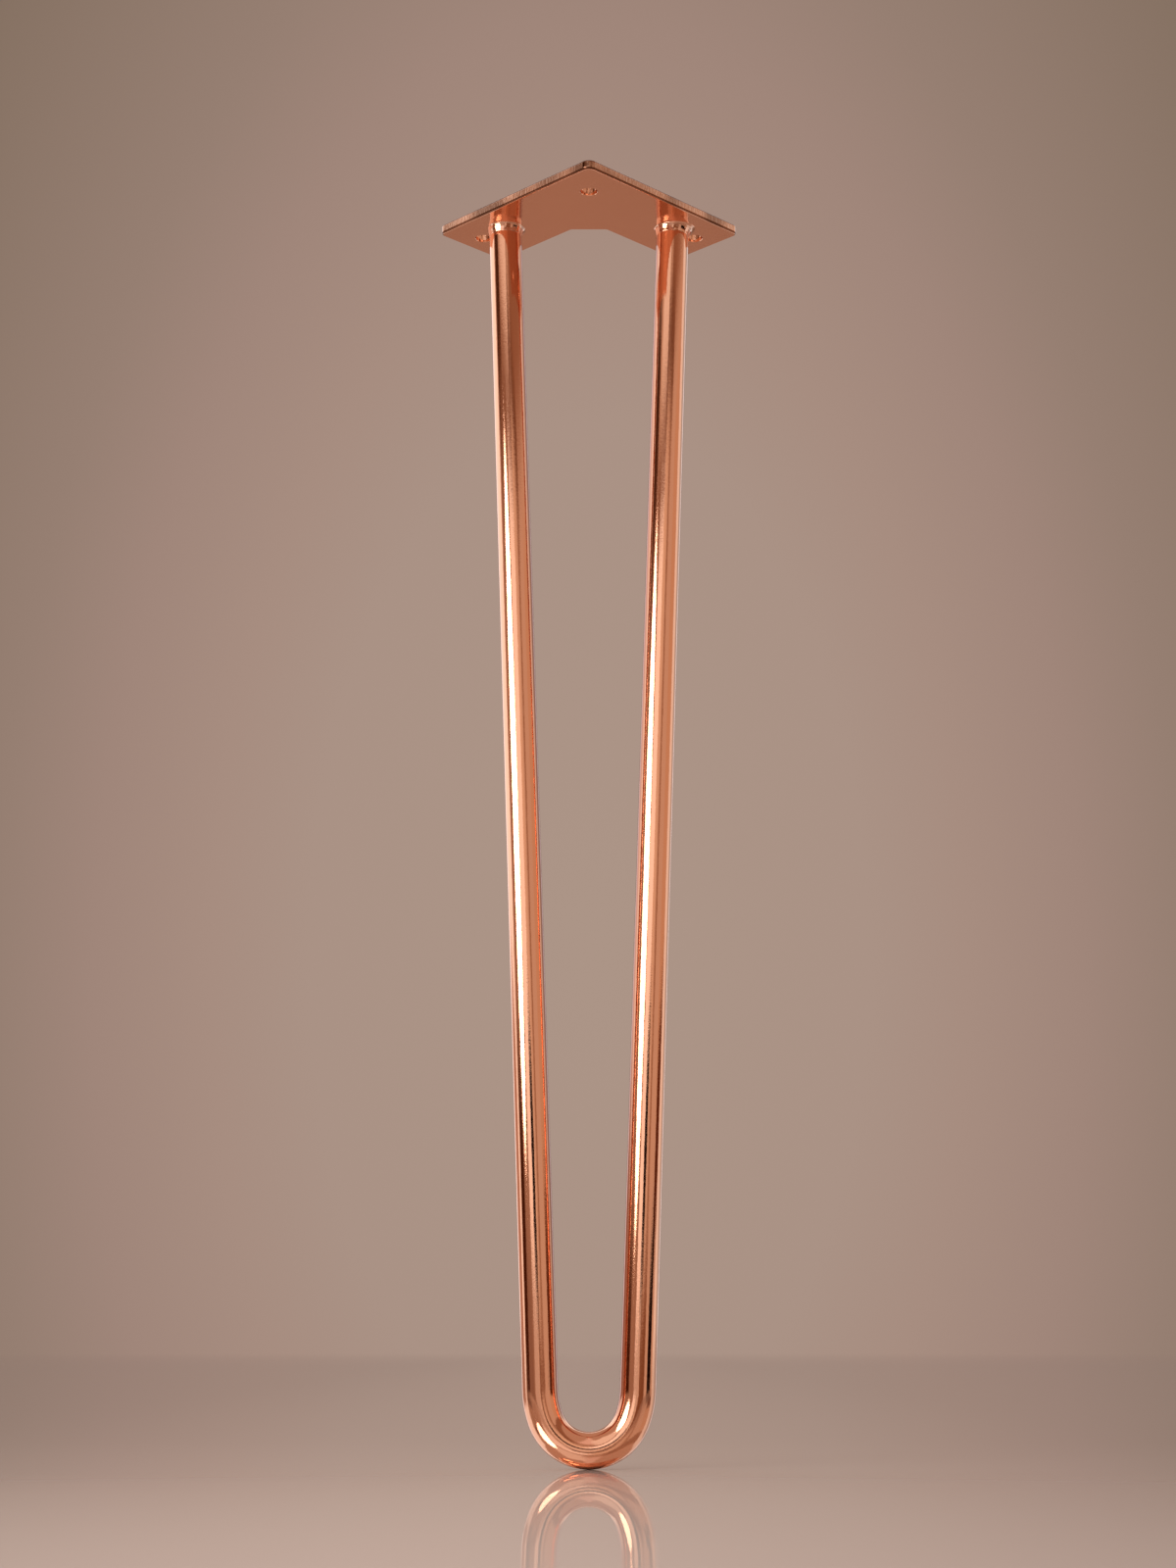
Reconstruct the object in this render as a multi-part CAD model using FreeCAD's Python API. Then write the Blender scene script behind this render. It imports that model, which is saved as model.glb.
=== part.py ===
import FreeCAD, Part
import math
import os

# Hairpin table leg: a round bar bent into a narrow U, its two ends welded under an L-shaped corner plate.
# Origin: centre of the corner screw hole on the plate's top face, which lies against the table.
# +Z is up and the leg hangs down. The plate's outer corner points along -Y, its arms run back to both
# sides at 45 degrees, and everything is mirrored about the YZ plane.

# Driving sizes, in millimetres and degrees

total_height = 450.0            # top face of the plate to the lowest point of the bend
outward_lean = 3.0              # tilt of the U towards the plate's outer corner

rod_diameter = 12.0
bend_radius = 15.2              # centre line, in the middle of the bend
bend_middle_angle = 140.0       # part of the turn that has this radius
shoulder_radius = 31.0          # centre line, where the bend opens into the straight legs

plate_thickness = 3.5
arm_length = 79.5               # outer corner, before rounding, to the end of an arm
arm_width = 32.3
inner_flat_width = 13.0         # flat that fills the inner corner
outer_corner_round = 3.2
arm_end_round = 2.5
inner_corner_round = 1.5
edge_break = 0.8                # polished-off rim of the plate, both faces

screw_line_inset = 14.2         # outer edge to the line of the screw holes and rod ends
hole_to_arm_end = 9.3           # an arm's screw hole to the end of the arm
rod_to_hole = 11.8              # a rod's end to its arm's screw hole, along the arm
screw_hole_diameter = 6.0
hole_deburr = 0.2               # chamfer of each hole on the underside

weld_leg_on_plate = 2.4
weld_leg_on_rod = 3.6
weld_hollow = 0.6               # how far the bead's face dips below a straight fillet

# Places worked out from the sizes

rod_radius = rod_diameter / 2
hole_radius = screw_hole_diameter / 2
underside = -plate_thickness
slant = math.sqrt(0.5)          # sine and cosine of the arms' 45 degrees

corner_hole_y = 2 * screw_line_inset * slant
arm_hole_from_corner = arm_length - hole_to_arm_end
rod_from_corner = arm_hole_from_corner - rod_to_hole


def on_arm(along, across):
    """Point of the right arm: distances from the outer corner along it and in from its outer edge."""
    x = (along - across) * slant
    y = (along + across) * slant - corner_hole_y
    return FreeCAD.Vector(x, y, 0)


def mirrored(point):
    return FreeCAD.Vector(-point.x, point.y, point.z)


def rounded_outline(corners):
    """Closed flat wire through (point, radius) corners, each rounded by an arc of its radius."""
    edges = []
    ends = []
    count = len(corners)
    for index in range(count):
        before = corners[index - 1][0]
        point, radius = corners[index]
        after = corners[(index + 1) % count][0]
        back = (before - point).normalize()
        ahead = (after - point).normalize()
        half_angle = back.getAngle(ahead) / 2
        setback = radius / math.tan(half_angle)
        bisector = (back + ahead).normalize()
        start = point + back * setback
        end = point + ahead * setback
        middle = point + bisector * (radius / math.sin(half_angle) - radius)
        edges.append(Part.Arc(start, middle, end).toShape())
        ends.append((start, end))
    for index in range(count):
        here = ends[index][1]
        there = ends[(index + 1) % count][0]
        edges.append(Part.LineSegment(here, there).toShape())
    return Part.Wire(Part.__sortEdges__(edges))


def plate_blank():
    """L-shaped plate with rounded corners and a flat across its inner corner, rims broken."""
    outer_corner = on_arm(0, 0)
    tip = on_arm(arm_length, 0)
    heel = on_arm(arm_length, arm_width)
    inner_corner = on_arm(arm_width, arm_width)
    flat_end = inner_corner + FreeCAD.Vector(inner_flat_width / 2, inner_flat_width / 2, 0)
    corners = [
        (outer_corner, outer_corner_round),
        (tip, arm_end_round),
        (heel, arm_end_round),
        (flat_end, inner_corner_round),
        (mirrored(flat_end), inner_corner_round),
        (mirrored(heel), arm_end_round),
        (mirrored(tip), arm_end_round),
    ]
    outline = rounded_outline(corners)
    blank = Part.Face(outline).extrude(FreeCAD.Vector(0, 0, -plate_thickness))
    rim = [edge for edge in blank.Edges if edge.BoundBox.ZLength < edge_break]
    return blank.makeFillet(edge_break, rim)


def screw_hole(centre):
    """Cutter for a through hole, with the deburring cone at the underside."""
    drill = Part.makeCylinder(hole_radius, plate_thickness * 3, centre + FreeCAD.Vector(0, 0, underside * 2))
    cone_base = centre + FreeCAD.Vector(0, 0, underside - hole_deburr)
    cone = Part.makeCone(hole_radius + 2 * hole_deburr, hole_radius, 2 * hole_deburr, cone_base)
    return drill.fuse(cone)


def mounting_plate():
    arm_hole = on_arm(arm_hole_from_corner, screw_line_inset)
    corner_hole = on_arm(screw_line_inset, screw_line_inset)
    plate = plate_blank()
    for centre in (corner_hole, arm_hole, mirrored(arm_hole)):
        plate = plate.cut(screw_hole(centre))
    return plate


# The U lies in a plane that leans about X. A point of it is given by its distance across
# and its distance up that plane from the centre line's lowest point.

lean = math.radians(outward_lean)
rod_top = on_arm(rod_from_corner, screw_line_inset)
foot_z = rod_radius - total_height
rise = (underside - foot_z) / math.cos(lean)
foot_y = rod_top.y - rise * math.sin(lean)
upward = FreeCAD.Vector(0, math.sin(lean), math.cos(lean))


def in_leg_plane(across, up):
    return FreeCAD.Vector(across, foot_y, foot_z) + upward * up


def legs_taper():
    """Angle of the right leg from upright: it is tangent to its shoulder and ends at the rod's place."""
    half_middle = math.radians(bend_middle_angle) / 2
    shoulder_across = (bend_radius - shoulder_radius) * math.sin(half_middle)
    shoulder_up = bend_radius - (bend_radius - shoulder_radius) * math.cos(half_middle)
    to_top_across = rod_top.x - shoulder_across
    to_top_up = rise - shoulder_up
    reach = math.hypot(to_top_across, to_top_up)
    taper = math.atan2(to_top_across, to_top_up) - math.asin(shoulder_radius / reach)
    return taper, shoulder_across, shoulder_up


def hairpin_path():
    """Half of the centre line: middle arc from the lowest point, shoulder arc and straight leg."""
    taper, shoulder_across, shoulder_up = legs_taper()
    half_middle = math.radians(bend_middle_angle) / 2

    def on_middle(turn):
        return in_leg_plane(bend_radius * math.sin(turn), bend_radius * (1 - math.cos(turn)))

    def on_shoulder(turn):
        across = shoulder_across + shoulder_radius * math.sin(turn)
        up = shoulder_up - shoulder_radius * math.cos(turn)
        return in_leg_plane(across, up)

    leg_turn = math.pi / 2 - taper
    middle_arc = Part.Arc(on_middle(0), on_middle(half_middle / 2), on_middle(half_middle))
    shoulder_middle = (half_middle + leg_turn) / 2
    shoulder_arc = Part.Arc(on_middle(half_middle), on_shoulder(shoulder_middle), on_shoulder(leg_turn))
    leg_start = on_shoulder(leg_turn)
    leg_end = in_leg_plane(rod_top.x, rise)
    past_plate = leg_end + (leg_end - leg_start).normalize() * rod_diameter
    leg = Part.LineSegment(leg_start, past_plate)
    return Part.Wire([middle_arc.toShape(), shoulder_arc.toShape(), leg.toShape()])


def below_plate(shape):
    """What is left of a shape below the plate's underside."""
    size = total_height
    slab = Part.makeBox(size, size, size, FreeCAD.Vector(-size / 2, rod_top.y - size / 2, underside))
    return shape.cut(slab)


def hairpin_rod():
    """One bar, swept along the centre line and mirrored, both ends cut flush with the plate."""
    section = Part.Circle(in_leg_plane(0, 0), FreeCAD.Vector(1, 0, 0), rod_radius)
    profile = Part.Wire([section.toShape()])
    half = hairpin_path().makePipeShell([profile], True, False)
    other_half = half.mirror(FreeCAD.Vector(0, 0, 0), FreeCAD.Vector(1, 0, 0))
    return below_plate(half.fuse(other_half).removeSplitter())


def right_weld_bead():
    """Hollow-faced fillet weld round the right rod's end, its toe on the plate's underside."""
    taper = legs_taper()[0]
    axis = in_leg_plane(math.sin(taper), math.cos(taper)) - in_leg_plane(0, 0)
    centre = in_leg_plane(rod_top.x, rise)
    outward = FreeCAD.Vector(0, 1, 0).cross(axis).normalize()
    overrun = weld_leg_on_plate     # stretch above the underside, trimmed off with the tilt

    def at(radius, height):
        return centre + outward * radius + axis * height

    toe_radius = rod_radius + weld_leg_on_plate
    lower = at(rod_radius, -weld_leg_on_rod)
    toe = at(toe_radius, 0)
    chord = toe - lower
    inwards = (at(0, 0) - at(1, 0)) * chord.dot(axis) + axis * chord.dot(outward)
    dip = (lower + toe) * 0.5 + inwards.normalize() * weld_hollow
    face = Part.Arc(lower, dip, toe)
    toe_top = at(toe_radius, overrun)
    bore_top = at(rod_radius, overrun)
    sides = [Part.LineSegment(toe, toe_top), Part.LineSegment(toe_top, bore_top), Part.LineSegment(bore_top, lower)]
    profile = Part.Face(Part.Wire([face.toShape()] + [side.toShape() for side in sides]))
    return below_plate(profile.revolve(centre, axis, 360))


def left_weld_bead():
    return right_weld_bead().mirror(FreeCAD.Vector(0, 0, 0), FreeCAD.Vector(1, 0, 0))


pieces = {
    "mounting_plate": mounting_plate,
    "hairpin_rod": hairpin_rod,
    "left_weld_bead": left_weld_bead,
    "right_weld_bead": right_weld_bead,
}

os.makedirs("parts", exist_ok=True)
for name, make in pieces.items():
    made = make()
    solid = made.Solids[0]
    solid.exportStep("parts/" + name + ".step")
    print(name, "solids", len(made.Solids), "valid", solid.isValid(), "volume", round(solid.Volume, 1))
print("taper of each leg in degrees", round(math.degrees(legs_taper()[0]), 2))
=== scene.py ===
import bpy
import math
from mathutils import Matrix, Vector


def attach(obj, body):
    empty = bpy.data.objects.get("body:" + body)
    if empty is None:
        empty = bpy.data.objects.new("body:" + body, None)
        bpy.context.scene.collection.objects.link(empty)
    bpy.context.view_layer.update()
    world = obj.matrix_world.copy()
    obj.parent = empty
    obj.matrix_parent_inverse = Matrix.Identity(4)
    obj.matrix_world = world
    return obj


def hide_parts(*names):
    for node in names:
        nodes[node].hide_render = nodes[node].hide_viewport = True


# Copper-plated hairpin table leg, standing on its bend on a taupe studio floor.
# Metres throughout. The leg's corner points at the camera (-Y), the table side of the plate is at z = 0.

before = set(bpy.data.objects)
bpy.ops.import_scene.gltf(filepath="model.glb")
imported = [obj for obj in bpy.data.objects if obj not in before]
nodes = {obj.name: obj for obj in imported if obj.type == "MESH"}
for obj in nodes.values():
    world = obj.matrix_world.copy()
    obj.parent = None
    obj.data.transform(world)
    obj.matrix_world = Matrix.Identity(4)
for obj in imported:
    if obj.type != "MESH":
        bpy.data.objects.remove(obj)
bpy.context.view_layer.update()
mm = 0.001
print("frame loaded:", sorted(nodes))


def rgb(code):
    # sRGB hex to the linear values that Blender's sockets take
    parts = [int(code[i:i + 2], 16) / 255 for i in (0, 2, 4)]
    return [p / 12.92 if p <= 0.04045 else ((p + 0.055) / 1.055) ** 2.4 for p in parts] + [1.0]


def addNode(tree, kind, settings=None, **inputs):
    # one node: settings are its own properties, inputs its sockets, set to a value or linked from another socket
    node = tree.nodes.new(kind)
    for name, value in (settings or {}).items():
        setattr(node, name, value)
    for name, value in inputs.items():
        key = int(name[1:]) if name[0] == "i" and name[1:].isdigit() else name.replace("_", " ")
        socket = node.inputs[key]
        if isinstance(value, bpy.types.NodeSocket):
            tree.links.new(value, socket)
        else:
            socket.default_value = value
    return node


def startMaterial(name):
    made = bpy.data.materials.new(name)
    made.use_nodes = True
    made.node_tree.nodes.clear()
    return made, made.node_tree


def rampStops(ramp, stops):
    # colour ramp from (place, hex) pairs
    band = ramp.color_ramp
    while len(band.elements) > 1:
        band.elements.remove(band.elements[-1])
    band.elements[0].position = stops[0][0]
    band.elements[0].color = rgb(stops[0][1])
    for place, code in stops[1:]:
        band.elements.new(place).color = rgb(code)


def deselectAll():
    if bpy.context.object and bpy.context.object.mode != "OBJECT":
        bpy.ops.object.mode_set(mode="OBJECT")
    bpy.ops.object.select_all(action="DESELECT")


def finishPiece(piece, body, replaced, material):
    # place goes into the mesh, then the piece rides, stands for its CAD node and gets its finish
    deselectAll()
    piece.select_set(True)
    bpy.context.view_layer.objects.active = piece
    bpy.ops.object.transform_apply(location=True, rotation=True, scale=True)
    piece.data.materials.clear()
    piece.data.materials.append(material)
    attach(piece, body)
    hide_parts(*replaced)
    return piece


copperLook = {
    "rodColour": "F5B28E",        # bright copper plate over a drawn steel bar
    "rodInnerShadeColour": "B2694A",   # painted shade where the legs face each other, against one leg's orange mirrored in the other
    "rodInnerShadeFacing": (-0.72, -0.95),  # how far a flank faces inwards, where the painted shade starts and is full
    "rodRoughness": 0.06,
    "plateColour": "F5B28E",
    "plateRoughness": 0.07,
    # edge colour by how far a face tilts: duller torn edge, with painted shade on the rounded rims
    "edgeDullAndRimShade": [(0.0, "D09A7C"), (0.12, "CA9072"), (0.28, "7A4830"), (0.8, "8A5840"), (0.95, "F5B28E")],
    "armHole": 0.0396,            # metres from the corner hole to an arm's, across and back
    "holeEdge": (0.0036, 0.004),  # metres from a hole's centre, where its bright wall ends
    "weldColour": "F0B494",
    "weldRoughness": 0.1,
}


def platedRodMaterial():
    # Copper plated on a cold-drawn steel bar, then buffed: a near mirror whose stripes break up
    # into fine lengthwise grain. Drawing lines are about 0.05 mm apart on the real bar, which is
    # too fine to show, so they are drawn about 0.4 mm apart.
    made, tree = startMaterial("buffed copper plate on drawn bar")
    place = addNode(tree, "ShaderNodeTexCoord").outputs["Object"]
    along = addNode(tree, "ShaderNodeMapping", Vector=place, Scale=(1.0, 1.0, 0.06))
    drawn = addNode(tree, "ShaderNodeTexNoise", Vector=along.outputs[0], Scale=2400.0, Detail=3.0, Roughness=0.6)
    grain = addNode(tree, "ShaderNodeTexNoise", Vector=place, Scale=1500.0, Detail=4.0, Roughness=0.7)
    soft = addNode(tree, "ShaderNodeTexNoise", Vector=place, Scale=70.0, Detail=1.0)
    first = addNode(tree, "ShaderNodeBump", Strength=0.06, Distance=0.0002, Height=drawn.outputs["Fac"])
    second = addNode(tree, "ShaderNodeBump", Strength=0.05, Distance=0.0002, Height=grain.outputs["Fac"],
                     Normal=first.outputs[0])
    third = addNode(tree, "ShaderNodeBump", Strength=0.012, Distance=0.002, Height=soft.outputs["Fac"],
                    Normal=second.outputs[0])
    rough = addNode(tree, "ShaderNodeMapRange", Value=grain.outputs["Fac"], From_Min=0.3, From_Max=0.7,
                    To_Min=copperLook["rodRoughness"] * 0.8, To_Max=copperLook["rodRoughness"] * 1.3)
    # painted shade: a darker colour where the legs face each other tones down the orange of one leg mirrored in the
    # other
    across = addNode(tree, "ShaderNodeSeparateXYZ", Vector=place)
    facing = addNode(tree, "ShaderNodeSeparateXYZ", Vector=addNode(tree, "ShaderNodeNewGeometry").outputs["Normal"])
    inwards = addNode(tree, "ShaderNodeMath", {"operation": "MULTIPLY"}, i0=facing.outputs["X"],
                      i1=addNode(tree, "ShaderNodeMath", {"operation": "SIGN"}, i0=across.outputs["X"]).outputs[0])
    shaded = addNode(tree, "ShaderNodeMapRange", {"interpolation_type": "SMOOTHSTEP"}, Value=inwards.outputs[0],
                     From_Min=copperLook["rodInnerShadeFacing"][0], From_Max=copperLook["rodInnerShadeFacing"][1])
    colour = addNode(tree, "ShaderNodeMix", {"data_type": "RGBA"}, i0=shaded.outputs[0],
                     i6=rgb(copperLook["rodColour"]), i7=rgb(copperLook["rodInnerShadeColour"]))
    shader = addNode(tree, "ShaderNodeBsdfPrincipled", Base_Color=colour.outputs[2], Metallic=1.0,
                     Roughness=rough.outputs[0], Normal=third.outputs[0])
    addNode(tree, "ShaderNodeOutputMaterial", Surface=shader.outputs[0])
    return made


def platedSheetMaterial():
    # Copper plated on blanked steel sheet: the flat faces are a satin mirror. The punch left fine upright
    # tear marks on the edges, which make their shine ragged and dull.
    made, tree = startMaterial("satin copper plate on blanked sheet")
    place = addNode(tree, "ShaderNodeTexCoord").outputs["Object"]
    grain = addNode(tree, "ShaderNodeTexNoise", Vector=place, Scale=1800.0, Detail=4.0, Roughness=0.7)
    soft = addNode(tree, "ShaderNodeTexNoise", Vector=place, Scale=45.0, Detail=2.0)
    first = addNode(tree, "ShaderNodeBump", Strength=0.05, Distance=0.0002, Height=grain.outputs["Fac"])
    second = addNode(tree, "ShaderNodeBump", Strength=0.04, Distance=0.003, Height=soft.outputs["Fac"],
                     Normal=first.outputs[0])
    upright = addNode(tree, "ShaderNodeMapping", Vector=place, Scale=(1.0, 1.0, 0.25))
    tears = addNode(tree, "ShaderNodeTexNoise", Vector=upright.outputs[0], Scale=1300.0, Detail=3.0)
    normal = addNode(tree, "ShaderNodeNewGeometry").outputs["True Normal"]
    facing = addNode(tree, "ShaderNodeSeparateXYZ", Vector=normal)
    flat = addNode(tree, "ShaderNodeMath", {"operation": "ABSOLUTE"}, i0=facing.outputs["Z"])
    onEdge = addNode(tree, "ShaderNodeMapRange", Value=flat.outputs[0], From_Min=0.97, From_Max=0.6,
                     To_Min=0.0, To_Max=0.16)
    third = addNode(tree, "ShaderNodeBump", Strength=onEdge.outputs[0], Distance=0.0003, Height=tears.outputs["Fac"],
                    Normal=second.outputs[0])
    # the torn edge is duller than the face and uneven along it, and its rounded rims carry painted shade, dark as in
    # the photo
    tint = addNode(tree, "ShaderNodeValToRGB", Fac=flat.outputs[0])
    rampStops(tint, copperLook["edgeDullAndRimShade"])
    along = addNode(tree, "ShaderNodeTexNoise", Vector=place, Scale=60.0, Detail=1.0)
    uneven = addNode(tree, "ShaderNodeMapRange", Value=along.outputs["Fac"], From_Min=0.38, From_Max=0.62,
                     To_Min=0.62, To_Max=1.25)
    unevenEdgeAndShade = addNode(tree, "ShaderNodeVectorMath", {"operation": "SCALE"}, i0=tint.outputs["Color"],
                   Scale=uneven.outputs[0])
    share = addNode(tree, "ShaderNodeMapRange", Value=flat.outputs[0], From_Min=0.98, From_Max=0.9)
    # the drilled screw holes stay bright
    level = addNode(tree, "ShaderNodeVectorMath", {"operation": "ABSOLUTE"}, i0=place)
    spot = addNode(tree, "ShaderNodeVectorMath", {"operation": "MULTIPLY"}, i0=level.outputs[0], i1=(1.0, 1.0, 0.0))
    toCorner = addNode(tree, "ShaderNodeVectorMath", {"operation": "DISTANCE"}, i0=spot.outputs[0], i1=(0.0, 0.0, 0.0))
    toArm = addNode(tree, "ShaderNodeVectorMath", {"operation": "DISTANCE"}, i0=spot.outputs[0],
                    i1=(copperLook["armHole"], copperLook["armHole"], 0.0))
    nearest = addNode(tree, "ShaderNodeMath", {"operation": "MINIMUM"}, i0=toCorner.outputs["Value"],
                      i1=toArm.outputs["Value"])
    clear = addNode(tree, "ShaderNodeMapRange", Value=nearest.outputs[0], From_Min=copperLook["holeEdge"][0],
                    From_Max=copperLook["holeEdge"][1])
    dull = addNode(tree, "ShaderNodeMath", {"operation": "MULTIPLY"}, i0=share.outputs[0], i1=clear.outputs[0])
    colour = addNode(tree, "ShaderNodeMix", {"data_type": "RGBA"}, i0=dull.outputs[0],
                     i6=rgb(copperLook["plateColour"]), i7=unevenEdgeAndShade.outputs[0])
    shader = addNode(tree, "ShaderNodeBsdfPrincipled", Base_Color=colour.outputs[2], Metallic=1.0,
                     Roughness=copperLook["plateRoughness"], Normal=third.outputs[0])
    addNode(tree, "ShaderNodeOutputMaterial", Surface=shader.outputs[0])
    return made


def platedWeldMaterial():
    # Copper plated over a wire-brushed weld: lumpy, so its glints are short and scattered
    made, tree = startMaterial("copper plate on brushed weld")
    place = addNode(tree, "ShaderNodeTexCoord").outputs["Object"]
    lumps = addNode(tree, "ShaderNodeTexNoise", Vector=place, Scale=500.0, Detail=2.0)
    first = addNode(tree, "ShaderNodeBump", Strength=0.15, Distance=0.0004, Height=lumps.outputs["Fac"])
    shader = addNode(tree, "ShaderNodeBsdfPrincipled", Base_Color=rgb(copperLook["weldColour"]), Metallic=1.0,
                     Roughness=copperLook["weldRoughness"], Normal=first.outputs[0])
    addNode(tree, "ShaderNodeOutputMaterial", Surface=shader.outputs[0])
    return made


rodFinish = platedRodMaterial()
sheetFinish = platedSheetMaterial()
weldFinish = platedWeldMaterial()
print("finishes made")

rodSize = {
    "radius": 6.0,           # mm
    "endAcross": 31.2541,    # each end's centre at the plate, from the middle and from the corner hole
    "bendRadius": 15.2,      # centre line
    "bendAngle": 140.0,      # part of the turn that has this radius
    "shoulderRadius": 31.0,
    "lean": 3.0,             # degrees towards the plate's corner
    "ringPoints": 96,
    "bendSteps": 44,         # in half of the middle arc
    "shoulderSteps": 12,
    "legSteps": 8,
    "legStep": 54.0,         # past the plate altogether, and cut off there
}
underside = -3.5 * mm
footLine = (-450.0 + rodSize["radius"]) * mm
leanAngle = math.radians(rodSize["lean"])
legUp = Vector((0, math.sin(leanAngle), math.cos(leanAngle)))
across = Vector((1, 0, 0))


def legTaper():
    # angle of a leg from upright: tangent to its shoulder, ending at the plate
    half = math.radians(rodSize["bendAngle"]) / 2
    bend, shoulder = rodSize["bendRadius"] * mm, rodSize["shoulderRadius"] * mm
    rise = (underside - footLine) / math.cos(leanAngle)
    sideways = rodSize["endAcross"] * mm - (bend - shoulder) * math.sin(half)
    upwards = rise - (bend - (bend - shoulder) * math.cos(half))
    return math.atan2(sideways, upwards) - math.asin(shoulder / math.hypot(sideways, upwards)), rise


legAngle, legRise = legTaper()
legAxis = across * math.sin(legAngle) + legUp * math.cos(legAngle)
rodEnd = Vector((rodSize["endAcross"] * mm, rodSize["endAcross"] * mm, underside))


def bentRod():
    half = math.radians(rodSize["bendAngle"]) / 2
    bend, shoulder = rodSize["bendRadius"] * mm, rodSize["shoulderRadius"] * mm
    turnAxis = Vector((0, math.cos(leanAngle), -math.sin(leanAngle)))
    start = Vector((0, rodEnd.y, underside)) - legUp * legRise
    deselectAll()
    bpy.ops.mesh.primitive_circle_add(vertices=rodSize["ringPoints"], radius=rodSize["radius"] * mm, location=start,
                                      rotation=(0, math.pi / 2, 0))
    rod = bpy.context.object
    rod.name = "bent_rod"
    bpy.ops.object.transform_apply(location=True, rotation=True, scale=True)
    bpy.ops.object.mode_set(mode="EDIT")
    bpy.ops.mesh.select_all(action="SELECT")
    middle = start + legUp * bend
    bpy.ops.mesh.spin(steps=rodSize["bendSteps"], angle=half, center=middle, axis=turnAxis)
    outward = across * math.sin(half) - legUp * math.cos(half)
    bpy.ops.mesh.spin(steps=rodSize["shoulderSteps"], angle=math.pi / 2 - legAngle - half,
                      center=middle + outward * (bend - shoulder), axis=turnAxis)
    for step in range(rodSize["legSteps"]):
        bpy.ops.mesh.extrude_region_move(TRANSFORM_OT_translate={"value": legAxis * (rodSize["legStep"] * mm)})
    bpy.ops.mesh.select_all(action="SELECT")
    bpy.ops.mesh.bisect(plane_co=(0, 0, underside), plane_no=(0, 0, 1), clear_outer=True, use_fill=True)
    bpy.ops.object.mode_set(mode="OBJECT")
    mirror = rod.modifiers.new("other leg", "MIRROR")
    mirror.merge_threshold = 0.00001
    bpy.ops.object.modifier_apply(modifier=mirror.name)
    bpy.ops.object.mode_set(mode="EDIT")
    bpy.ops.mesh.select_all(action="SELECT")
    bpy.ops.mesh.remove_doubles(threshold=0.000001)
    bpy.ops.mesh.normals_make_consistent(inside=False)
    bpy.ops.object.mode_set(mode="OBJECT")
    bpy.ops.object.shade_smooth_by_angle(angle=math.radians(40))
    return finishPiece(rod, "root", ["hairpin_rod"], rodFinish)


rod = bentRod()
low, high = [[f([v.co[i] for v in rod.data.vertices]) for i in range(3)] for f in (min, max)]
print("bent rod:", len(rod.data.polygons), "faces", [round(v * 1000, 2) for v in low + high])

beadSize = {
    "onPlate": 2.4,         # mm, leg of the fillet on the plate
    "onRod": 3.6,           # mm, leg on the rod
    # a slim taper up the rod that opens into the thin toe on the plate: shares of the two legs
    "profile": [(0.0, 0.99), (0.017, 0.92), (0.05, 0.805), (0.104, 0.64), (0.162, 0.47), (0.204, 0.36), (0.258, 0.28),
                (0.34, 0.2), (0.44, 0.13), (0.6, 0.075), (0.82, 0.036), (1.0, 0.0), (1.0, -0.1)],
    "neck": 0.2,            # share of the plate leg that is neck, not toe
    "ripples": 7,           # round the rod, from the welder's rhythm
    "rippleHeight": 0.06,
    "rippleMiddle": 1.9,    # mm below the plate
    "rippleSpan": 1.7,      # mm from there to where the ripples end
    "lip": 2.0,             # mm below the plate, from where the bead creeps unevenly down the rod
    "inside": 0.15,         # mm that the bead's hidden end is inside the rod
    "points": 180,
}


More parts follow.
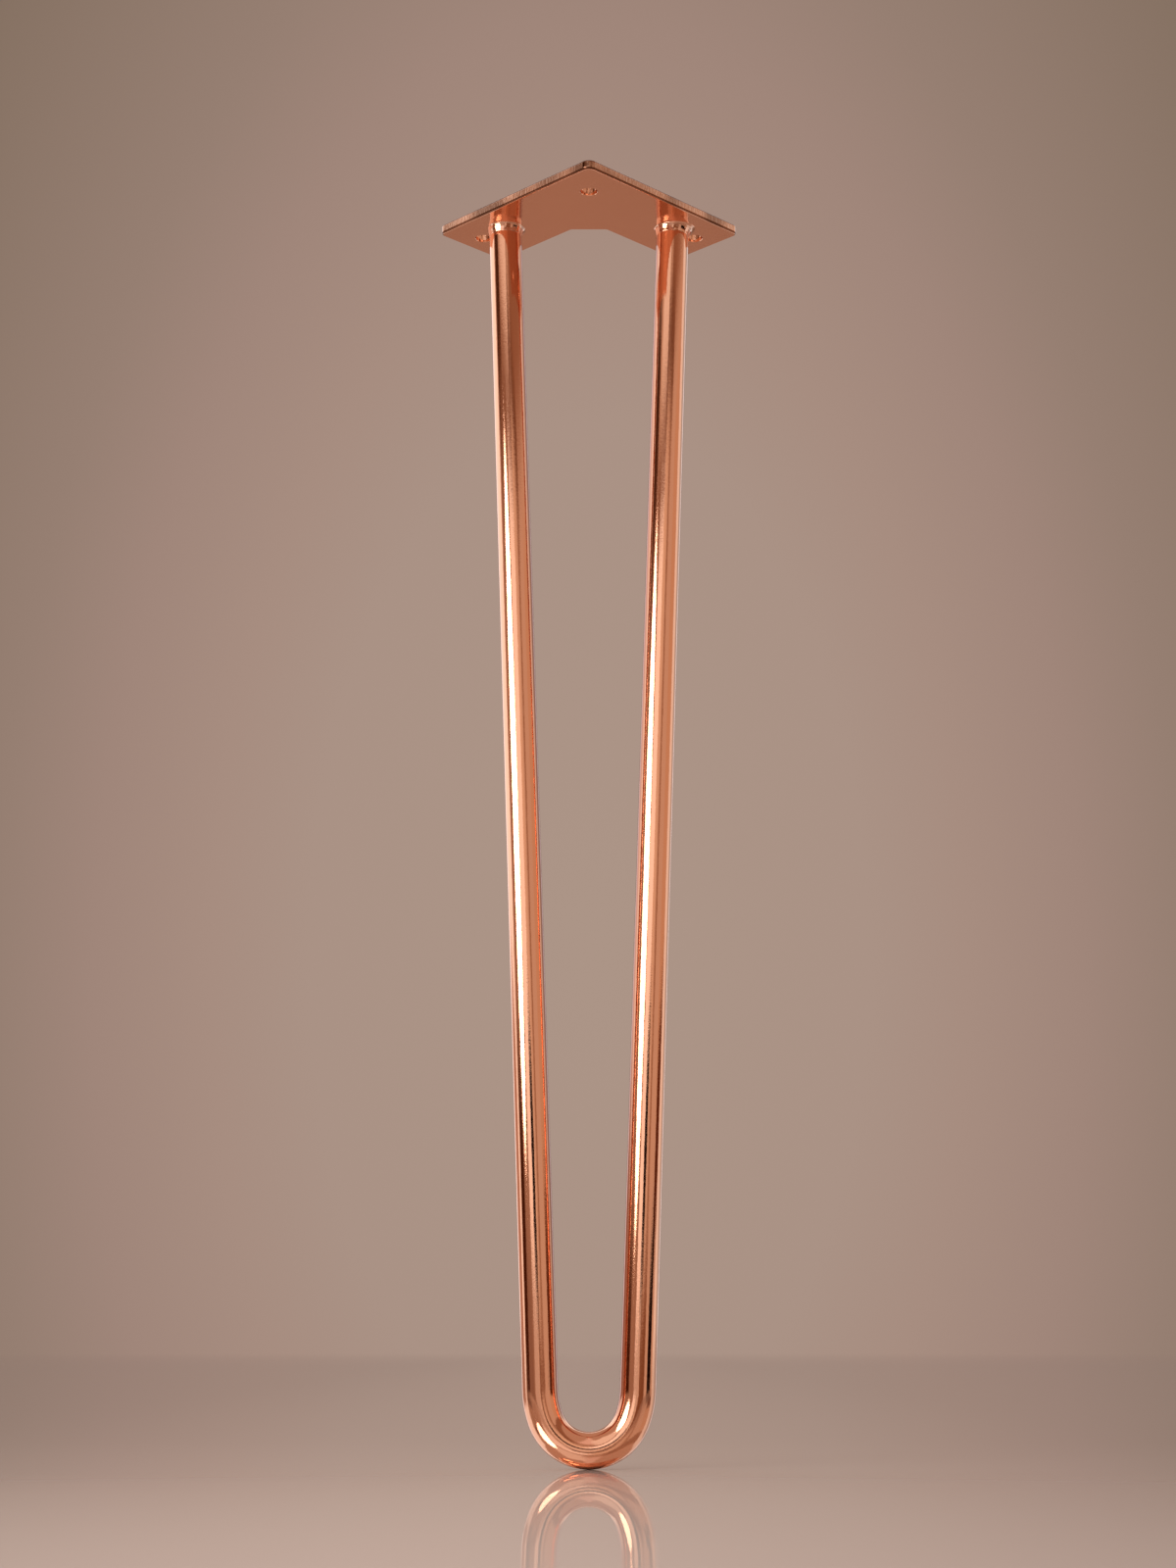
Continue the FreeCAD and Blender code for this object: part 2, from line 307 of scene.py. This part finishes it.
def weldBead(name, lead, fall):
    # one run of weld round the rod's end: rings from inside the rod, down its side, out to the toe on the plate.
    # The toe reaches furthest in the direction lead, and less by the share fall on the other side.
    size = beadSize
    bore = rodSize["radius"]
    tilt = legAxis.to_track_quat("Z", "Y").to_euler()
    place = rodEnd.copy()
    deselectAll()
    bpy.ops.mesh.primitive_circle_add(vertices=size["points"], radius=(bore - size["inside"]) * mm,
                                      location=place - legAxis * size["onRod"] * mm, rotation=tilt)
    bead = bpy.context.object
    bead.name = name
    bpy.ops.object.transform_apply(location=True, rotation=True, scale=True)
    bpy.ops.object.mode_set(mode="EDIT")
    bpy.ops.mesh.select_all(action="SELECT")
    before = (bore - size["inside"], -size["onRod"])
    profile = [(bore + out * size["onPlate"], -down * size["onRod"]) for out, down in size["profile"]]
    for radius, height in profile:
        bpy.ops.mesh.extrude_region_move(TRANSFORM_OT_translate={"value": legAxis * (height - before[1]) * mm})
        grow = radius / before[0]
        centre = place + legAxis * height * mm
        bpy.ops.transform.resize(value=(grow, grow, grow), center_override=centre)
        before = (radius, height)
    bpy.ops.object.mode_set(mode="OBJECT")
    neck = size["neck"] * size["onPlate"]
    for vertex in bead.data.vertices:
        arm = vertex.co - place
        level = arm.dot(legAxis) / mm
        arm -= legAxis * level * mm
        spread = arm.length / mm - bore
        a = math.atan2(arm.y, arm.x)
        wave = math.sin(size["ripples"] * a + 2.0 * math.sin(a + lead)) * (0.7 + 0.3 * math.sin(2 * a + lead))
        if 0.0 < spread:
            onNeck = max(0.0, 1.0 - abs(level + size["rippleMiddle"]) / size["rippleSpan"])
            short = fall * (0.5 - 0.5 * math.cos(a - lead))
            reach = 1.0 - short - 0.08 * (1.0 + math.sin(5 * a + lead))
            toe = min(spread, neck) * (1.0 - 0.3 * short) + max(0.0, spread - neck) * reach
            vertex.co += arm.normalized() * (toe - spread + wave * size["rippleHeight"] * onNeck) * mm
            if level < -size["lip"]:
                vertex.co += legAxis * (0.2 + 0.2 * wave) * mm
    bpy.ops.object.mode_set(mode="EDIT")
    bpy.ops.mesh.select_all(action="SELECT")
    bpy.ops.mesh.bisect(plane_co=(0, 0, underside + 0.1 * mm), plane_no=(0, 0, 1), clear_outer=True)
    bpy.ops.mesh.select_all(action="SELECT")
    bpy.ops.mesh.normals_make_consistent(inside=False)
    bpy.ops.object.mode_set(mode="OBJECT")
    bpy.ops.object.shade_smooth_by_angle(angle=math.radians(60))
    return bead


def mirrorPiece(piece, name):
    # the same piece on the other leg, with its own mesh
    other = piece.copy()
    other.data = piece.data.copy()
    other.name = name
    bpy.context.scene.collection.objects.link(other)
    deselectAll()
    other.select_set(True)
    bpy.context.view_layer.objects.active = other
    other.scale.x = -1
    bpy.ops.object.transform_apply(location=True, rotation=True, scale=True)
    bpy.ops.object.mode_set(mode="EDIT")
    bpy.ops.mesh.select_all(action="SELECT")
    bpy.ops.mesh.normals_make_consistent(inside=False)
    bpy.ops.object.mode_set(mode="OBJECT")
    return other


rightBead = weldBead("weld_right", math.radians(-20), 0.45)
leftBead = mirrorPiece(weldBead("weld_left_start", math.radians(185), 0.85), "weld_left")
bpy.data.objects.remove(bpy.data.objects["weld_left_start"])
finishPiece(rightBead, "root", ["right_weld_bead"], weldFinish)
finishPiece(leftBead, "root", ["left_weld_bead"], weldFinish)
print("weld beads:", len(rightBead.data.polygons), "faces each")

nodes["mounting_plate"].material_slots[0].material = sheetFinish
print("plate finished")

# Studio: one softbox at the front left, boards all round for the metal to mirror, a taupe backdrop.
# What each board stands for is a guess from the photo's reflections. Bearings are degrees round the leg,
# 0 towards the camera and + to its right; climbs are degrees up.
studio = {
    "floorColour": "DAC8BC",
    "floorRadius": 9.0,
    "floorFade": (3.0, 8.8),     # metres from the leg
    "keyBearing": -51.0,
    "keySize": (0.68, 0.53),
    "keyStrength": 5.0,
    "keyDistance": 1.0,
    "keyHeight": 0.507,          # above the floor
    "keyAim": 0.29,              # height on the leg that it points at
    "room": "CDB8AB",
    "boards": [
        # bearing from, to, climb from, to, soft edge, hex, strength, how far the board bows down at its ends
        (-220, 220, 31, 100, 8, "BCA295", 1.0, 0),              # ceiling
        (-16, 14, 41, 90, 6, "E6D2D0", 1.0, 0),                 # lamp panel in it, over the camera
        (12, 125, 26.5, 40, 8, "94705C", 1.0, 0),               # shaded top of the room on the right
        (-220, -93.5, -30, 42, 4, "EAF4FF", 1.5, 0),            # white wall on the left
        (-138, -104, -8, 8, 8, "BC9C90", 1.0, 0),               # its skirting
        (94, 220, -30, 42, 7, "EEF2F8", 1.05, 0),               # pale wall on the right
        (118, 146, -30, 26, 8, "BCC4CC", 1.0, 0),
        (145, 220, -30, 42, 10, "DCEEFF", 1.45, 0),             # its far end, lit by a window
        (62, 94, 8, 24, 5, "CCAE98", 1.0, 0),                   # door on the right
        (-94, -84, 8, 30, 3, "C4B0A7", 1.0, 0),                 # pole of the cloth
        (-86, -26, -8, 27.2, 4, "A08474", 1.0, 0),              # brown cloth round the softbox
        (-86, -58, 21.6, 29.6, 4, "4A2C1C", 1.0, 0),            # its dark folds
        (-88, -62, -1, 8, 6, "44200E", 1.0, 0),
        (-64, -34, -8, 5, 4, "8E7264", 1.0, 0),
        (-47, -5, 28.2, 62, 6, "F4EEEC", 1.0, 0),               # white sail above
        (-78, 0, 25, 27.8, 1.5, "8A6A58", 1.0, 0.0008),         # rails under it
        (-6, 38, 27.2, 29.4, 1.5, "6A4836", 1.0, 0.0018),
        (0, 16, 7, 26, 7, "E2CEBE", 1.0, 0),                    # cream curtain
        (-29, 0.5, 6.5, 25, 3, "F8F6F8", 1.25, 0),              # white panel beside the softbox
        (-27, -4, -8, 7, 4, "CCBCB4", 1.0, 0),                  # its foot
        (23, 32, 7, 26, 4, "A4846F", 1.0, 0),                   # seam of the room's wall
        (3, 36, -8, 6.5, 5, "80583F", 1.0, 0),                  # low case in front of it
        (-3, 2.5, -10, 4, 1.5, "F4ECE8", 1.1, 0),               # gap of light beside the case
        (-7, 9.5, 7.2, 13, 2, "1A0804", 1.0, 0),                # the camera's dark front
        (68, 92, 3.5, 9, 4, "5E2E16", 1.0, 0),                  # dark stand on the right
        (54, 80, -8, 4.8, 5, "140402", 1.0, 0),
    ],
    # over the distance from the middle of the backdrop, 1.0 is 40 degrees
    "backdrop": [(0.0, "AC9587"), (0.16, "AA9285"), (0.215, "A78D80"), (0.28, "A0867A"), (0.335, "967F72"),
                 (0.46, "857162"), (1.0, "857162")],
    "backdropReach": 40.0,
    "backdropSides": (21.0, 26.0),   # bearings off its middle where it ends, from and to
    "backdropTop": (32.0, 40.0),     # climbs where it ends
    # how much of the floor's light is mirrored, over the distance in front of the leg's foot, 1.0 is 0.4 m
    "floorMirror": [(0.0, 0.68), (0.19, 0.56), (0.31, 0.48), (0.51, 0.38), (0.68, 0.3), (0.86, 0.23), (1.0, 0.19)],
}
floorLevel = -0.450


def studioWorld():
    world = bpy.data.worlds.new("studio room")
    bpy.context.scene.world = world
    world.use_nodes = True
    tree = world.node_tree
    tree.nodes.clear()
    way = addNode(tree, "ShaderNodeTexCoord").outputs["Generated"]
    parts = addNode(tree, "ShaderNodeSeparateXYZ", Vector=way)
    towards = addNode(tree, "ShaderNodeMath", {"operation": "MULTIPLY"}, i0=parts.outputs["Y"], i1=-1.0)
    turn = addNode(tree, "ShaderNodeMath", {"operation": "ARCTAN2"}, i0=parts.outputs["X"], i1=towards.outputs[0])
    bearing = addNode(tree, "ShaderNodeMath", {"operation": "MULTIPLY"}, i0=turn.outputs[0], i1=180 / math.pi)
    lift = addNode(tree, "ShaderNodeMath", {"operation": "ARCSINE"}, i0=parts.outputs["Z"])
    climb = addNode(tree, "ShaderNodeMath", {"operation": "MULTIPLY"}, i0=lift.outputs[0], i1=180 / math.pi)
    square = addNode(tree, "ShaderNodeMath", {"operation": "MULTIPLY"}, i0=bearing.outputs[0], i1=bearing.outputs[0])
    colour = rgb(studio["room"])
    for left, right, low, high, soft, code, strength, bow in studio["boards"]:
        level = climb
        if bow:
            level = addNode(tree, "ShaderNodeMath", {"operation": "MULTIPLY_ADD"}, i0=square.outputs[0], i1=bow,
                            i2=climb.outputs[0])
        rise = min(soft, (high - low) / 2) / 2
        mask = None
        for value, edge, width, ends in ((bearing, left, soft, (0.0, 1.0)), (bearing, right, soft, (1.0, 0.0)),
                                         (level, low, rise, (0.0, 1.0)), (level, high, rise, (1.0, 0.0))):
            # no mask for an edge outside the bearings' range, straight up or far under the floor
            outside = abs(edge) > 200 if value is bearing else edge >= 90 or edge <= -30
            if outside:
                continue
            step = addNode(tree, "ShaderNodeMapRange", {"interpolation_type": "SMOOTHSTEP"}, Value=value.outputs[0],
                           From_Min=edge - width / 2, From_Max=edge + width / 2, To_Min=ends[0], To_Max=ends[1])
            if mask is None:
                mask = step.outputs[0]
            else:
                mask = addNode(tree, "ShaderNodeMath", {"operation": "MULTIPLY"}, i0=step.outputs[0],
                               i1=mask).outputs[0]
        shade = [c * strength for c in rgb(code)[:3]] + [1.0]
        colour = addNode(tree, "ShaderNodeMix", {"data_type": "RGBA"}, i0=mask, i6=colour, i7=shade).outputs[2]
    # the backdrop: a pool of light behind the leg, 9 degrees up, that falls off to the sides and the top
    back = addNode(tree, "ShaderNodeMath", {"operation": "ARCTAN2"}, i0=parts.outputs["X"], i1=parts.outputs["Y"])
    sideways = addNode(tree, "ShaderNodeMath", {"operation": "MULTIPLY"}, i0=back.outputs[0], i1=180 / math.pi)
    upwards = addNode(tree, "ShaderNodeMath", {"operation": "MULTIPLY_ADD"}, i0=climb.outputs[0], i1=0.55, i2=-4.95)
    flat = addNode(tree, "ShaderNodeCombineXYZ", X=sideways.outputs[0], Y=upwards.outputs[0])
    reach = addNode(tree, "ShaderNodeVectorMath", {"operation": "LENGTH"}, i0=flat.outputs[0])
    share = addNode(tree, "ShaderNodeMath", {"operation": "DIVIDE"}, i0=reach.outputs["Value"],
                    i1=studio["backdropReach"])
    pool = addNode(tree, "ShaderNodeValToRGB", Fac=share.outputs[0])
    rampStops(pool, studio["backdrop"])
    away = addNode(tree, "ShaderNodeMath", {"operation": "ABSOLUTE"}, i0=sideways.outputs[0])
    beside = addNode(tree, "ShaderNodeMapRange", {"interpolation_type": "SMOOTHSTEP"}, Value=away.outputs[0],
                     From_Min=studio["backdropSides"][0], From_Max=studio["backdropSides"][1])
    over = addNode(tree, "ShaderNodeMapRange", {"interpolation_type": "SMOOTHSTEP"}, Value=climb.outputs[0],
                   From_Min=studio["backdropTop"][0], From_Max=studio["backdropTop"][1])
    off = addNode(tree, "ShaderNodeMath", {"operation": "MAXIMUM"}, i0=beside.outputs[0], i1=over.outputs[0])
    whole = addNode(tree, "ShaderNodeMix", {"data_type": "RGBA"}, i0=off.outputs[0], i6=pool.outputs["Color"],
                    i7=colour)
    light = addNode(tree, "ShaderNodeBackground", Color=whole.outputs[2], Strength=1.0)
    addNode(tree, "ShaderNodeOutputWorld", Surface=light.outputs[0])


def studioFloor():
    # a polished taupe board, mirror-like at the foot, and the same for the metal as for the camera
    deselectAll()
    bpy.ops.mesh.primitive_circle_add(vertices=128, radius=studio["floorRadius"], fill_type="NGON",
                                      location=(0, 0, floorLevel))
    floor = bpy.context.object
    floor.name = "studio_floor"
    bpy.ops.object.transform_apply(location=True, rotation=True, scale=True)
    made, tree = startMaterial("polished taupe board")
    place = addNode(tree, "ShaderNodeTexCoord").outputs["Object"]
    parts = addNode(tree, "ShaderNodeSeparateXYZ", Vector=place)

    # its matte part evens out the mirrored one, and carries a painted pool of light: brighter towards the front of the
    # leg and falling off to the sides
    nearer = addNode(tree, "ShaderNodeMapRange", Value=parts.outputs["Y"], From_Min=0.25, From_Max=-0.08,
                     To_Min=0.82, To_Max=0.97)
    middle = addNode(tree, "ShaderNodeMath", {"operation": "ADD"}, i0=parts.outputs["X"], i1=0.025)
    offSide = addNode(tree, "ShaderNodeMath", {"operation": "ABSOLUTE"}, i0=middle.outputs[0])
    fall = addNode(tree, "ShaderNodeMapRange", {"interpolation_type": "SMOOTHSTEP"}, Value=offSide.outputs[0],
                   From_Min=-0.05, From_Max=0.3, To_Min=1.02, To_Max=0.72)
    paintedPoolTone = addNode(tree, "ShaderNodeMath", {"operation": "MULTIPLY"}, i0=nearer.outputs[0], i1=fall.outputs[0])
    pale = addNode(tree, "ShaderNodeVectorMath", {"operation": "SCALE"}, i0=rgb(studio["floorColour"])[:3],
                   Scale=paintedPoolTone.outputs[0])
    matte = addNode(tree, "ShaderNodeBsdfDiffuse", Color=pale.outputs[0])
    shine = addNode(tree, "ShaderNodeBsdfGlossy", Color=rgb("FFFFFF"), Roughness=0.001)
    ahead = addNode(tree, "ShaderNodeMapRange", Value=parts.outputs["Y"], From_Min=0.0, From_Max=-0.4)
    mirror = addNode(tree, "ShaderNodeValToRGB", Fac=ahead.outputs[0])
    grey = mirror.color_ramp
    grey.elements.remove(grey.elements[-1])
    grey.elements[0].position = studio["floorMirror"][0][0]
    grey.elements[0].color = [studio["floorMirror"][0][1]] * 3 + [1.0]
    for spot, value in studio["floorMirror"][1:]:
        grey.elements.new(spot).color = [value] * 3 + [1.0]
    board = addNode(tree, "ShaderNodeMixShader", i0=mirror.outputs["Color"], i1=matte.outputs[0], i2=shine.outputs[0])

    # the board fades into the backdrop
    clear = addNode(tree, "ShaderNodeBsdfTransparent")
    reach = addNode(tree, "ShaderNodeVectorMath", {"operation": "LENGTH"}, i0=place)
    far = addNode(tree, "ShaderNodeMapRange", {"interpolation_type": "SMOOTHSTEP"}, Value=reach.outputs["Value"],
                  From_Min=studio["floorFade"][0], From_Max=studio["floorFade"][1])
    # and is clear from below, so that the leg's underside can be looked at
    below = addNode(tree, "ShaderNodeNewGeometry").outputs["Backfacing"]
    unseen = addNode(tree, "ShaderNodeMath", {"operation": "MAXIMUM"}, i0=far.outputs[0], i1=below)
    both = addNode(tree, "ShaderNodeMixShader", i0=unseen.outputs[0], i1=board.outputs[0], i2=clear.outputs[0])
    addNode(tree, "ShaderNodeOutputMaterial", Surface=both.outputs[0])
    floor.data.materials.append(made)


def around(bearing, distance, height):
    a = math.radians(bearing)
    return Vector((math.sin(a) * distance, -math.cos(a) * distance, height + floorLevel))


def keySoftbox():
    lamp = bpy.data.lights.new("key softbox", "AREA")
    lamp.shape = "ELLIPSE"
    lamp.size, lamp.size_y = studio["keySize"]
    lamp.energy = studio["keyStrength"] * lamp.size * lamp.size_y * math.pi / 4 * math.pi
    softbox = bpy.data.objects.new("key softbox", lamp)
    bpy.context.scene.collection.objects.link(softbox)
    softbox.location = around(studio["keyBearing"], studio["keyDistance"], studio["keyHeight"])
    aim = around(0, 0, studio["keyAim"]) - softbox.location
    softbox.rotation_euler = aim.to_track_quat("-Z", "Y").to_euler()
    softbox.visible_camera = False


studioWorld()
studioFloor()
keySoftbox()
print("studio made")

cameraFit = {
    "pictureHeight": 1600,
    "sensor": 36,
    "focalPixels": 2575.0,
    "pitchUp": 12.46,
    "aboveFloor": 0.04082,
    "corner": -0.02008,          # y of the plate's unrounded outer corner
    "fromCorner": 0.82425,       # from there to the camera
    "turn": 0.0222,              # to the left
}
lens = bpy.data.cameras.new("camera")
lens.lens = cameraFit["focalPixels"] * cameraFit["sensor"] / cameraFit["pictureHeight"]
lens.sensor_width = cameraFit["sensor"]
lens.clip_end = 60
camera = bpy.data.objects.new("camera", lens)
bpy.context.scene.collection.objects.link(camera)
camera.location = (0, cameraFit["corner"] - cameraFit["fromCorner"], floorLevel + cameraFit["aboveFloor"])
camera.rotation_euler = (math.radians(90 + cameraFit["pitchUp"]), 0, math.radians(cameraFit["turn"]))
bpy.context.scene.camera = camera
bpy.context.scene.view_settings.view_transform = "Standard"
print("camera set")
